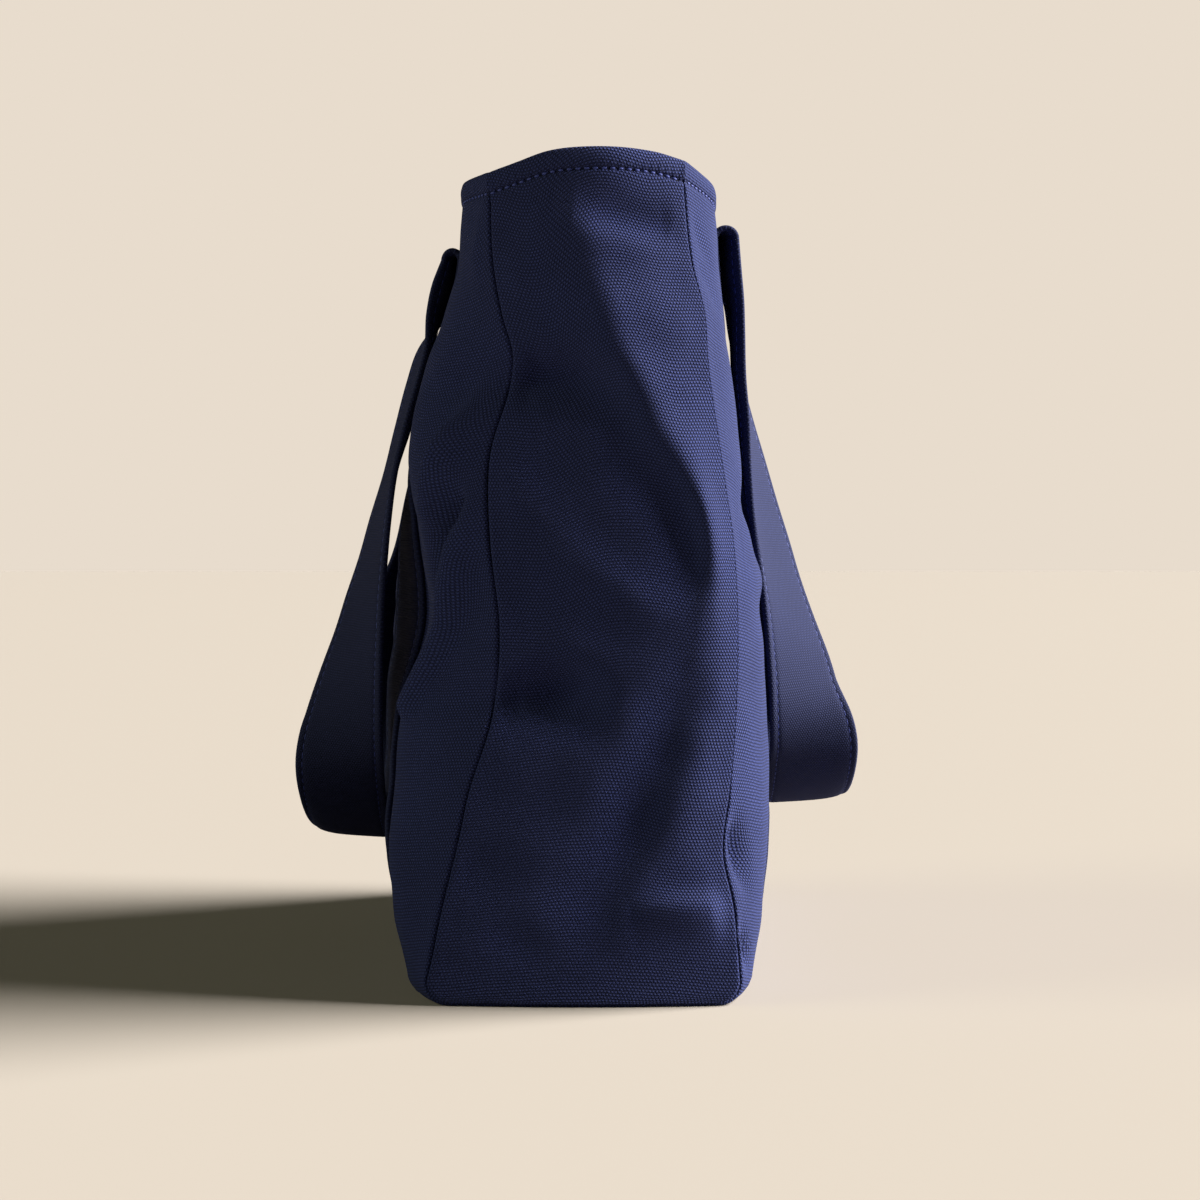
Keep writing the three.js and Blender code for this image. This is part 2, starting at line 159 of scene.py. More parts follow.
PANEL_FOLDS = {
    "front": (
        {"path": ((187, 257), (181, 230), (164, 202)), "rise": 12, "widths": (5, 6),
         "ends": (0.8, 0.4)},
        {"path": ((180, 214), (170, 192), (158, 170)), "rise": -14, "widths": (5, 7),
         "ends": (0.4, 0.4)},
        {"path": ((184, 236), (185, 189), (156, 122)), "rise": 11, "widths": (4, 7),
         "ends": (0.5, 0.5)},
        {"path": ((184, 326), (176, 312), (178, 296)), "rise": 1.6, "widths": (4, 6),
         "ends": (0.5, 0.2)},
        {"path": ((100, 196), (104, 158), (106, 116)), "rise": -4.5, "widths": (14, 14),
         "ends": (0.3, 0.3)},
        {"path": ((48, 222), (46, 130), (50, 40)), "rise": 3, "widths": (20, 20),
         "ends": (0.4, 0.5)},
        {"path": ((76, 332), (80, 308), (84, 280)), "rise": -2.6, "widths": (22, 22),
         "ends": (0.6, 0.3)},
    ),
    "back": (
        {"path": ((184, 322), (174, 312), (168, 298)), "rise": -1.6, "widths": (4, 5),
         "ends": (0.5, 0.2)},
        {"path": ((184, 308), (176, 300), (170, 286)), "rise": -1.4, "widths": (4, 5),
         "ends": (0.5, 0.2)},
        {"path": ((184, 76), (177, 64), (176, 50)), "rise": -8, "widths": (4, 4),
         "ends": (0.4, 0.3)},
        {"path": ((176, 206), (140, 203), (70, 206)), "rise": -2.6, "widths": (8, 9),
         "ends": (0.3, 0.3)},
        {"path": ((168, 176), (140, 173), (80, 172)), "rise": 3, "widths": (9, 13),
         "ends": (0.3, 0.3)},
        {"path": ((184, 32), (180, 22), (174, 17)), "rise": -7, "widths": (3, 3),
         "ends": (0.4, 0.3)},
    ),
}

# Where a front seam is pinched in: its height, how deep and how high the pinch is, and between
# which two places across the end panel it dies away.
PINCHES = (
    {"z": 256, "depth": 5.5, "height": 9, "dies": (-22, 14)},
    {"z": 126, "depth": 5, "height": 9, "dies": (-14, 12)},
)

# How the curve from the strap to the end seam bends: the shares of the slopes on both sides that
# it has at the bulge, and how much steeper than its chord it meets the seam
BULGE_SLOPES = (0.35, 0.1)
SEAM_STEEPNESS = 1.7

# How far from a seam the folds have their full rise
PANEL_EDGE = 8
GUSSET_EDGE = 11

# Slack all over the cloth: low waves, each by its turns per metre along and up, and its phase
SLACK_RISE = 0.16
SLACK_WAVES = (
    (17, 8, 0), (-11, 19, 1.3), (25, -5, 2.1), (6, 27, 4), (-24, 16, 5.2), (33, 14, 0.7),
    (-8, -35, 3.3),
)

# The hanging loops. At each height, how far a loop's near edge stands from the middle plane, how
# many degrees the strap has turned from flat against the bag towards edge-on to it, and how far
# its near edge flares out from the rest. The far leg has only a share of that turn higher up. At
# the bottom of a loop the outer edge lies higher by tilt, and its corner is drawn in and up. The
# strap sewn up the bag is a little slack low down.
LOOPS = {
    "front": {
        "direction": -1, "fold_top": 317.5, "turn_top": 112, "bottom": 51, "spread": 85,
        "z": (50, 80, 100, 118, 135, 150, 165, 182, 200, 220, 240, 262, 276, 290, 303, 314),
        "inner": (89.5, 89.4, 89.1, 88.9, 88.7, 88.4, 88, 87, 85.5, 83.2, 79.4, 73.3, 69.8, 69,
                  66.5, 61.8),
        "twist": (90, 90, 71.6, 56.3, 44, 34.6, 27.6, 20.4, 15.3, 11.3, 16.3, 17.5, 16.3, 2.1,
                  2.2, 2.1),
        "flare": (0, 0, 0, 0, 0, 0, 0, 0, 0, 1, 5.5, 6, 6.5, 5.5, 7.2, 3.8), "far_twist": 0.45,
        "tilt": 2.5, "corner_in": 5, "corner_up": 4, "low_slack": 1.6,
    },
    "back": {
        "direction": 1, "fold_top": 327.5, "turn_top": 128, "bottom": 67, "spread": 85,
        "z": (60, 89, 103, 120, 138, 155, 173, 190, 208, 226, 244, 262, 283, 296, 310, 323),
        "inner": (82.8, 82.8, 82.7, 81.8, 80.6, 79.3, 77.6, 75.8, 74.4, 73.4, 72.7, 71.1, 70.4,
                  69.9, 68.8, 67.5),
        "twist": (90, 90, 72.5, 54.8, 45, 36.3, 31, 30, 29, 24, 17, 11, 2.1, -1.4, -4.2, -5.6),
        "flare": (0, 0, 0, 0, 0, 0.5, 2, 4.5, 8, 9, 9, 8, 5.5, 4.5, 5, 3), "far_twist": 0.8,
        "tilt": 3, "corner_in": 2, "corner_up": 3, "low_slack": 1.6,
    },
}
FLARE_SHARE = 0.15
LOW_SLACK_HEIGHT = 62
LOW_SLACK_REACH = 16


# The shape of the bag, by the same rules as its solids

def cubic(t, start, end, start_slope, end_slope):
    rest = 1 - t
    return ((1 + 2 * t) * rest**2 * start + t * rest**2 * start_slope
            + t**2 * (3 - 2 * t) * end - t**2 * rest * end_slope)


def along(table, key, column, x):
    """A smooth curve through one column of a table."""
    keys = np.array(table[key], float)
    values = np.array(table[column], float)
    slopes = np.diff(values) / np.diff(keys)
    tangents = np.concatenate([slopes[:1], (slopes[:-1] + slopes[1:]) / 2, slopes[-1:]])
    at = np.clip(x, keys[0], keys[-1])
    i = np.clip(np.searchsorted(keys, at, side="right") - 1, 0, len(keys) - 2)
    step = keys[i + 1] - keys[i]
    t = (at - keys[i]) / step
    return cubic(t, values[i], values[i + 1], step * tangents[i], step * tangents[i + 1])


def section(column, z):
    return along(SECTIONS, "z", column, z)


def smoothstep(x, low, high):
    t = np.clip((x - low) / (high - low), 0, 1)
    return t * t * (3 - 2 * t)


def unit(vectors):
    return vectors / np.maximum(np.linalg.norm(vectors, axis=-1, keepdims=True), 1e-9)


def fold_lift(folds, y, z):
    """How far folds lift a point of a panel, each along a curve through its three points."""
    points = np.stack(np.broadcast_arrays(y, z), axis=-1).astype(float)
    lift = np.zeros(points.shape[:-1])
    t = np.linspace(0, 1, 25)[:, None]
    for fold in folds:
        start, middle, end = (np.array(place, float) for place in fold["path"])
        curve = (1 - t) ** 2 * start + 2 * t * (1 - t) * middle + t**2 * end
        nearest = np.full(lift.shape, np.inf)
        place = np.zeros(lift.shape)
        side = np.zeros(lift.shape)
        for i, (a, b) in enumerate(zip(curve[:-1], curve[1:])):
            reach = b - a
            share = np.clip(((points - a) @ reach) / (reach @ reach), 0, 1)
            away = points - a - share[..., None] * reach
            distance = np.linalg.norm(away, axis=-1)
            left = (reach[0] * away[..., 1] - reach[1] * away[..., 0]) / np.linalg.norm(reach)
            closer = distance < nearest
            place = np.where(closer, (i + share) / (len(curve) - 1), place)
            side = np.where(closer, left / np.maximum(distance, 1e-6), side)
            nearest = np.minimum(distance, nearest)
        low = np.where(place < 0.5, fold["ends"][0], fold["ends"][1])
        fade = low + (1 - low) * np.sin(np.pi * place)
        left_width, right_width = fold["widths"]
        width = (left_width + right_width) / 2 + (left_width - right_width) / 2 * side
        lift += fold["rise"] * fade * np.exp(-((nearest / width) ** 2))
    return lift


def slack(along_it, up):
    """Low waves over a whole panel."""
    total = np.zeros(np.broadcast(along_it, up).shape)
    for turns_along, turns_up, phase in SLACK_WAVES:
        bend = 1.1 * np.sin(0.045 * up + 0.03 * along_it + phase)
        turns = 2 * np.pi * MM * (turns_along * along_it + turns_up * up)
        total += np.sin(turns + phase + bend)
    return SLACK_RISE * total


def panel_reach(side, x, z):
    """Distance of the front's or back's outer face from the middle plane. The far end is the
    near end turned half round, with the sides swapped."""
    x, z = np.broadcast_arrays(x, z)
    other = "back" if side == "front" else "front"
    seam = np.where(x >= 0, section("seam_" + side, z), section("seam_" + other, z))
    bulge = np.where(x >= 0, section("bulge_" + side, z), section("bulge_" + other, z))
    strap = section("strap_" + side, z)
    middle = section("mid_" + side, z)
    out = np.abs(x)
    inner_slope = (strap - middle) / STRAP_X
    outer_slope = (bulge - strap) / (BULGE_X - STRAP_X)
    end_slope = (seam - bulge) / (HALF_LENGTH - BULGE_X)
    strap_slope = (inner_slope + outer_slope) / 2
    bulge_slope = BULGE_SLOPES[0] * outer_slope + BULGE_SLOPES[1] * end_slope
    inside = cubic(out / STRAP_X, middle, strap, 0, STRAP_X * strap_slope)
    step = BULGE_X - STRAP_X
    beside = cubic((out - STRAP_X) / step, strap, bulge, step * strap_slope, step * bulge_slope)
    step = HALF_LENGTH - BULGE_X
    t = np.minimum((out - BULGE_X) / step, 1)
    ends = cubic(t, bulge, seam, step * bulge_slope, step * SEAM_STEEPNESS * end_slope)
    reach = np.where(out <= STRAP_X, inside, np.where(out <= BULGE_X, beside, ends))
    folds = np.where(x >= 0, fold_lift(PANEL_FOLDS[side], out, z),
                     FAR_FOLD_SHARE * fold_lift(PANEL_FOLDS[other], out, z))
    edge = smoothstep(HALF_LENGTH - out, 0, PANEL_EDGE)
    foot = smoothstep(z, CORNER_RADIUS, 3 * CORNER_RADIUS)
    return reach + edge * (folds + foot * slack(x, z))


def end_reach(y, z):
    """Where the end panel stands: y on the near end, which the far end repeats turned round."""
    front = -section("seam_front", z)
    back = section("seam_back", z)
    crest = section("crest", z)
    left = np.clip((y - front) / (crest - front), 0, 1)
    right = np.clip((back - y) / (back - crest), 0, 1)
    bow = section("bow", z) * np.sin(np.pi / 2 * np.minimum(left, right))
    draw_in = END_DRAW_IN * np.sin(np.pi * np.minimum(z / RIM_HEIGHT, 1))
    for pinch in PINCHES:
        level = np.exp(-(((z - pinch["z"]) / pinch["height"]) ** 2))
        draw_in = draw_in + pinch["depth"] * level * (1 - smoothstep(y, *pinch["dies"]))
    return HALF_LENGTH - draw_in + bow


def gusset_reach(y, z, fold_share):
    front = -section("seam_front", z)
    back = section("seam_back", z)
    edge = smoothstep(np.minimum(y - front, back - y), 0, GUSSET_EDGE)
    foot = smoothstep(z, CORNER_RADIUS, 3 * CORNER_RADIUS)
    folds = fold_share * fold_lift(GUSSET_FOLDS, y, z)
    return end_reach(y, z) + edge * (folds + foot * slack(fold_share * y, z))


def seam_slopes(side, z):
    """At the near end seam, the slope of the panel along the bag and of the end panel across."""
    seam = section("seam_" + side, z)
    out = 1 if side == "back" else -1
    panel = panel_reach(side, HALF_LENGTH, z) - panel_reach(side, HALF_LENGTH - 1, z)
    gusset = end_reach(out * seam, z) - end_reach(out * (seam - 1), z)
    return panel, gusset


def seam_form(side, column, z):
    """The radius of the turned edges of a seam, or its gap, at a height."""
    return np.interp(z, SEAMS[side]["z"], SEAMS[side][column])


def seam_trims(side, z):
    """How far short of the corner the panel and the end panel start to turn in, measured
    along the bag and across it, so that both cloths meet in the seam."""
    panel, gusset = seam_slopes(side, z)
    corner = np.pi / 2 - np.arctan(-panel) - np.arctan(-gusset)
    radius = seam_form(side, "radius", z)
    short = seam_form(side, "gap", z) + radius * np.tan(np.pi / 4 + corner / 4)
    return short / np.hypot(1, panel), short / np.hypot(1, gusset)


# Sheets of cloth as grids of points on their outer face

def face_out(grid):
    """Unit normals of a grid, on the side where its columns run right and its rows run up."""
    return unit(np.cross(np.gradient(grid, axis=1), np.gradient(grid, axis=0)))


def evened(lengths, reach):
    """The mean of each row and its neighbours, so that the weave runs evenly over a fold."""
    total = np.cumsum(np.pad(lengths, ((reach + 1, reach), (0, 0)), mode="edge"), axis=0)
    return (total[2 * reach + 1:] - total[:-2 * reach - 1]) / (2 * reach + 1)


def cloth_map(grid, row, column):
    """Each point's place on the flat cloth, measured from one row and one column."""
    across = np.cumsum(np.linalg.norm(np.diff(grid, axis=1), axis=2), axis=1)
    across = np.pad(across, ((0, 0), (1, 0)))
    across = evened(across - across[:, column:column + 1], EVEN_ROWS)
    up = np.cumsum(np.linalg.norm(np.diff(grid, axis=0), axis=2), axis=0)
    up = np.pad(up, ((1, 0), (0, 0)))
    up = evened((up - up[row]).T, EVEN_COLUMNS).T
    return np.stack([across, up], axis=-1)


def hem_over(wall, outward):
    """Turns the top of a wall over and down inside itself, as a sewn hem is."""
    up = unit(wall[-1] - wall[-2])
    angles = np.linspace(0, np.pi, HEM_ROLL_ROWS + 1)[1:]
    roll = [wall[-1] + HEM_RADIUS * (np.sin(a) * up - (1 - np.cos(a)) * outward[-1])
            for a in angles]
    layer = slice(-2, -2 - HEM_LAYER_ROWS, -1)
    inside = wall[layer] - 2 * HEM_RADIUS * outward[layer]
    return np.concatenate([wall, roll, inside])


def hem_puff(depth):
    """How far the hem's band stands out, and how deep its stitches draw the cloth in."""
    band = np.clip(depth / HEM_STITCH_DEPTH, 0, 1)
    drawn = np.exp(-((depth - HEM_STITCH_DEPTH) / HEM_DRAW_WIDTH) ** 2)
    return HEM_PUFF * np.sin(np.pi * band) - HEM_DRAW * drawn


def allowance_run(below_rim):
    """How far a seam allowance runs on inside the bag. In the hem it is sewn down flat."""
    return np.where(below_rim > HEM_BAND, ALLOWANCE, HEM_ALLOWANCE)


def wall_heights(rim, rows):
    """Heights of a wall's rows for each column, with close rows in the hem."""
    shares = np.linspace(0, 1, rows)[:-1, None]
    lower = CORNER_RADIUS + (rim - HEM_DEPTHS[0] - CORNER_RADIUS) * shares
    hem = rim - np.array(HEM_DEPTHS)[:, None]
    return np.concatenate([lower, hem])


class Cloth:
    """A sheet built from a grid of points, with strips that turn in along its edges."""

    def __init__(self, grid, flat, below_rim):
        rows, columns = grid.shape[:2]
        self.index = np.arange(rows * columns).reshape(rows, columns)
        self.points = grid.reshape(-1, 3)
        self.flat = flat.reshape(-1, 2)
        self.below_rim = below_rim.reshape(-1)
        self.quads = [self.join(self.index)]

    @staticmethod
    def join(index):
        a, b = index[:-1, :-1], index[:-1, 1:]
        c, d = index[1:, 1:], index[1:, :-1]
        return np.stack([a, b, c, d], axis=-1).reshape(-1, 4)

    def turn_in(self, edge, inner, facing, radius, run):
        """Turns an edge in by a small radius and runs it on as a seam allowance. The edge runs
        with the cloth on its left, and facing holds the outer face of the other cloth."""
        radius = radius[:, None]
        start = self.points[edge]
        seam = unit(np.gradient(start, axis=0))
        out = start - self.points[inner]
        out = unit(out - (out * seam).sum(axis=1, keepdims=True) * seam)
        normal = np.cross(out, seam)
        into = -(normal + facing)
        into = unit(into - (into * seam).sum(axis=1, keepdims=True) * seam)
        angle = np.arctan2(-(into * normal).sum(axis=1), (into * out).sum(axis=1))[:, None]
        columns = []
        for share in np.linspace(0, 1, EDGE_TURN_COLUMNS + 1)[1:]:
            turn = angle * share
            columns.append(start + radius * (
                np.sin(turn) * out - (1 - np.cos(turn)) * normal))
        bend = columns[-1]
        for share in np.linspace(0, 1, ALLOWANCE_COLUMNS + 1)[1:]:
            columns.append(bend + into * run[:, None] * share)
        strip = np.stack(columns, axis=1)
        count = len(self.points)
        index = count + np.arange(strip.shape[0] * strip.shape[1]).reshape(strip.shape[:2])
        lengths = np.linalg.norm(np.diff(np.concatenate([start[:, None], strip], axis=1),
                                         axis=1), axis=2)
        flat_out = unit(self.flat[edge] - self.flat[inner])
        flat = self.flat[edge][:, None] + np.cumsum(lengths, axis=1)[..., None] * flat_out[:, None]
        self.points = np.concatenate([self.points, strip.reshape(-1, 3)])
        self.flat = np.concatenate([self.flat, flat.reshape(-1, 2)])
        below = np.repeat(self.below_rim[edge], strip.shape[1])
        self.below_rim = np.concatenate([self.below_rim, below])
        self.quads.append(self.join(np.concatenate([edge[:, None], index], axis=1)))

    def piece(self, name, material):
        """Gives the cloth its thickness, inwards, and makes it an object."""
        quads = np.concatenate(self.quads)
        corners = self.points[quads]
        areas = np.cross(corners[:, 2] - corners[:, 0], corners[:, 3] - corners[:, 1])
        normals = np.zeros_like(self.points)
        for k in range(4):
            np.add.at(normals, quads[:, k], areas)
        inner = self.points - CLOTH_THICKNESS * unit(normals)
        count = len(self.points)
        sides = np.concatenate([quads[:, [k, (k + 1) % 4]] for k in range(4)])
        met = {(b, a) for a, b in sides}
        open_sides = np.array([(a, b) for a, b in sides if (a, b) not in met])
        rims = np.stack([open_sides[:, 1], open_sides[:, 0],
                         open_sides[:, 0] + count, open_sides[:, 1] + count], axis=1)
        faces = np.concatenate([quads, quads[:, ::-1] + count, rims]).tolist()
        return cloth_object(name, np.concatenate([self.points, inner]), faces,
                            np.tile(self.flat, (2, 1)), np.tile(self.below_rim, 2), material)


def cloth_object(name, points, faces, flat, below_rim, material):
    """A smooth mesh object from points in millimetres, with its flat cloth as its UV map."""
    mesh = bpy.data.meshes.new(name)
    mesh.from_pydata((points + (0, BACK_SHIFT, 0)) * MM, [], faces)
    corners = np.empty(len(mesh.loops), int)
    mesh.loops.foreach_get("vertex_index", corners)
    layer = mesh.uv_layers.new(name="flat_cloth")
    layer.data.foreach_set("uv", (flat[corners] * MM).ravel())
    depth = mesh.attributes.new("below_rim", "FLOAT", "POINT")
    depth.data.foreach_set("value", below_rim * MM)
    mesh.shade_smooth()
    mesh.materials.append(material)
    made = bpy.data.objects.new(name, mesh)
    bpy.context.scene.collection.objects.link(made)
    return made


# The body: one length of canvas down the back, under the base and up the front

def body_columns():
    """Shares of the way from the middle to an end, closer together towards both ends."""
    even = np.linspace(-1, 1, BODY_COLUMNS)
    crowding = np.pi / 2 * END_CROWDING
    return np.sin(crowding * even) / math.sin(crowding)


def body_points(x, y, z):
    """Carries level rows out to the end seams, which follow the end panels' bow."""
    end = np.sign(x)
    bow = end_reach(end * y, z) - HALF_LENGTH
    out = x + end * bow * smoothstep(np.abs(x) / HALF_LENGTH, 0.5, 1)
    return np.stack(np.broadcast_arrays(out, y, z), axis=-1)


def body_length(side, share, z):
    """Places along the bag, whose ends stop short of the seams."""
    other = "back" if side == "front" else "front"
    trim = np.where(share >= 0, seam_trims(side, z)[0], seam_trims(other, z)[0])
    return share * (HALF_LENGTH - trim)


def body_wall(side, share):
    direction = 1 if side == "back" else -1
    other = "back" if side == "front" else "front"
    from_middle = np.abs(share) * HALF_LENGTH
    rim = np.where(share >= 0, along(PANEL_RIM, "at", side, from_middle),
                   along(PANEL_RIM, "at", other, from_middle))
    z = wall_heights(rim, WALL_ROWS)
    x = body_length(side, share, z) + hem_puff(rim - z) * share
    y = direction * (panel_reach(side, x, z) + hem_puff(rim - z))
    return body_points(x, y, z), rim - z


def body_corner(side, share):
    direction = 1 if side == "back" else -1
    angles = np.linspace(0, np.pi / 2, CORNER_ROWS + 1)[1:, None]
    x = body_length(side, share, CORNER_RADIUS + 0 * share)
    foot = panel_reach(side, x, CORNER_RADIUS) - CORNER_RADIUS
    y = direction * (foot + CORNER_RADIUS * np.cos(angles))
    z = CORNER_RADIUS * (1 - np.sin(angles)) + 0 * foot
    return body_points(x, y, z)


def body_cloth(material):
    share = body_columns()
    back, back_depth = body_wall("back", share)
    front, front_depth = body_wall("front", share)
    back_out = -face_out(back)
    front_out = face_out(front)
    back_hemmed = hem_over(back, back_out)
    front_hemmed = hem_over(front, front_out)
    x = body_length("back", share, CORNER_RADIUS + 0 * share)
    back_foot = panel_reach("back", x, CORNER_RADIUS) - CORNER_RADIUS
    front_foot = CORNER_RADIUS - panel_reach("front", x, CORNER_RADIUS)
    steps = np.linspace(0, 1, BASE_ROWS + 1)[1:-1, None]
    base_y = back_foot + (front_foot - back_foot) * steps
    base = body_points(x, base_y, 0 * base_y)
    grid = np.concatenate([
        back_hemmed[::-1], body_corner("back", share), base,
        body_corner("front", share)[::-1], front_hemmed])
    below = np.full(grid.shape[:2], FAR_BELOW)
    hem_rows = len(back_hemmed) - len(back)
    depth_full = np.concatenate([back_depth, hem_depths(back_depth, hem_rows)])
    below[:len(back_hemmed)] = depth_full[::-1]
    depth_full = np.concatenate([front_depth, hem_depths(front_depth, hem_rows)])
    below[-len(front_hemmed):] = depth_full
    middle_row = len(back_hemmed) + CORNER_ROWS + BASE_ROWS // 2
    cloth = Cloth(grid, cloth_map(grid, middle_row, BODY_COLUMNS // 2), below)
    run = allowance_run(below[:, 0])
    for column, inner, end in ((-1, -2, 1), (0, 1, -1)):
        order = slice(None) if end == 1 else slice(None, None, -1)
        edge = cloth.index[order, column]
        points = grid[order, column]
        facing = end_facing(points, end)
        radius = edge_radius(end * points[:, 1], points[:, 2])
        cloth.turn_in(edge, cloth.index[order, inner], facing, radius, run[order])
    paths = [stitch_path(back, back_out, back_depth), stitch_path(front, front_out, front_depth)]
    return cloth.piece("body_cloth", material), paths


def edge_radius(y, z):
    """Radius of the turned edge at places round the near end panel."""
    return np.where(y < 0, seam_form("front", "radius", z), seam_form("back", "radius", z))


def hem_depths(depth, extra):
    """Depth below the rim of the rows that hem_over adds."""
    rolled = np.zeros((extra - HEM_LAYER_ROWS, depth.shape[1]))
    return np.concatenate([rolled, depth[-2:-2 - HEM_LAYER_ROWS:-1]])


def end_facing(points, end):
    """Outer face of an end panel at places along its seam."""
    y = end * points[:, 1]
    z = points[:, 2]
    step = 1.0
    inside = np.sign(y) * (np.abs(y) - step)
    fall = (end_reach(inside, z) - end_reach(inside - np.sign(y) * step, z)) * np.sign(y) / step
    normal = unit(np.stack([np.ones_like(fall), -fall, np.zeros_like(fall)], axis=-1))
    return normal * (end, end, 1)


def stitch_path(wall, outward, depth):
    """The hem's row of stitches on both faces of the hem."""
    row = int(np.argmin(np.abs(depth[:, 0] - HEM_STITCH_DEPTH)))
    lengths = np.linalg.norm(np.diff(wall[row], axis=0), axis=1)
    place = np.concatenate([[0], np.cumsum(lengths)])
    place -= place[len(place) // 2]
    first = math.ceil(place[0] / HEM_STITCH_PITCH) * HEM_STITCH_PITCH
    last = math.floor(place[-1] / HEM_STITCH_PITCH) * HEM_STITCH_PITCH
    spare = 0.02
    spots = np.concatenate([[first - spare], place[(place > first) & (place < last)],
                            [last + spare]])
    lift = 0.15
    sink = 2 * HEM_RADIUS + 0.1
    rows = (wall[row] + lift * outward[row], wall[row] - sink * outward[row])
    return [np.stack([np.interp(spots, place, points[:, k]) for k in range(3)], axis=1)
            for points in rows]


# The end panels, sewn into the body's two edges

def gusset_grid(fold_share):
    share = np.linspace(0, 1, GUSSET_COLUMNS)
    arc = CORNER_RADIUS - float(seam_trims("back", np.array(float(CORNER_RADIUS)))[1])
    turns = np.linspace(0, np.pi / 2, 2 * CORNER_ROWS + 1)[:-1, None]
    low = CORNER_RADIUS - arc * np.cos(turns) + 0 * share
    rim = along(GUSSET_RIM, "at", "height", share)
    z = np.concatenate([low, wall_heights(rim, GUSSET_ROWS)])
    drop = np.clip(CORNER_RADIUS - z, 0, arc)
    draw = arc - np.sqrt(arc**2 - drop**2)
    front = -section("seam_front", z) + seam_trims("front", z)[1] + draw
    back = section("seam_back", z) - seam_trims("back", z)[1] - draw
    y = front + (back - front) * share + hem_puff(rim - z) * (2 * share - 1)
    reach = gusset_reach(y, z, fold_share) + hem_puff(rim - z)
    return np.stack([reach, y, z], axis=-1), rim - z


def gusset_cloth(name, end, fold_share, material):
    wall, depth = gusset_grid(fold_share)
    outward = face_out(wall)
    grid = hem_over(wall, outward)
    path = stitch_path(wall, outward, depth)
    below = np.concatenate([depth, hem_depths(depth, len(grid) - len(wall))])
    turned = (end, end, 1)
    cloth = Cloth(grid * turned, cloth_map(grid, 0, GUSSET_COLUMNS // 2), below)
    index = cloth.index
    edge = np.concatenate([index[::-1, 0], index[0, 1:-1], index[:, -1]])
    inner = np.concatenate([index[::-1, 1], index[1, 1:-1], index[:, -2]])
    points = grid.reshape(-1, 3)[edge]
    run = allowance_run(cloth.below_rim[edge])
    radius = edge_radius(points[:, 1], points[:, 2])
    cloth.turn_in(edge, inner, panel_facing(points) * turned, radius, run)
    return cloth.piece(name, material), [points * turned for points in path]


def panel_facing(points):
    """Outer face of the body along the near end panel's seam, from its front rim round."""
    y = points[:, 1]
    z = points[:, 2]
    sign = np.where(y > 0, 1, -1)
    slope = np.empty(len(points))
    for side, out in (("front", -1), ("back", 1)):
        at = np.maximum(z, CORNER_RADIUS)
        rise = panel_reach(side, HALF_LENGTH, at) - panel_reach(side, HALF_LENGTH - 1, at)
        slope = np.where(sign == out, rise, slope)
    wall = unit(np.stack([-slope, sign, np.zeros_like(slope)], axis=-1))
    edge = np.where(y > 0, section("seam_back", CORNER_RADIUS), section("seam_front", CORNER_RADIUS))
    sideways = np.clip((np.abs(y) - edge + CORNER_RADIUS) / CORNER_RADIUS, 0, 1)
    angle = np.where(z < CORNER_RADIUS, np.arccos(sideways), 0)[:, None]
    return np.cos(angle) * wall + np.sin(angle) * np.array((0, 0, -1.0))


# The straps: folded canvas, sewn up the bag, over at the top and hanging down in a loop

def strap_profile():
    """Places across a strap and its half thickness there, with a groove along the stitches."""
    half = STRAP_WIDTH / 2
    from_edge = np.array((0, 0.12, 0.45, 0.9, 1.4, 2.1, 2.8, 3.2, 3.6, 4, 4.5, 5.5, 7.5, 10, 13, 16.5))
    radius = STRAP_THICKNESS / 2
    rounding = np.clip(radius - from_edge, 0, radius)
    depth = np.sqrt(radius**2 - rounding**2)
    depth -= EDGE_GROOVE * np.exp(-((from_edge - EDGE_STITCH) / EDGE_GROOVE_WIDTH) ** 2)
    places = (half - from_edge) / half
    q = np.concatenate([-places, (0,), places[::-1]])
    return q, np.concatenate([depth, (radius,), depth[::-1]])


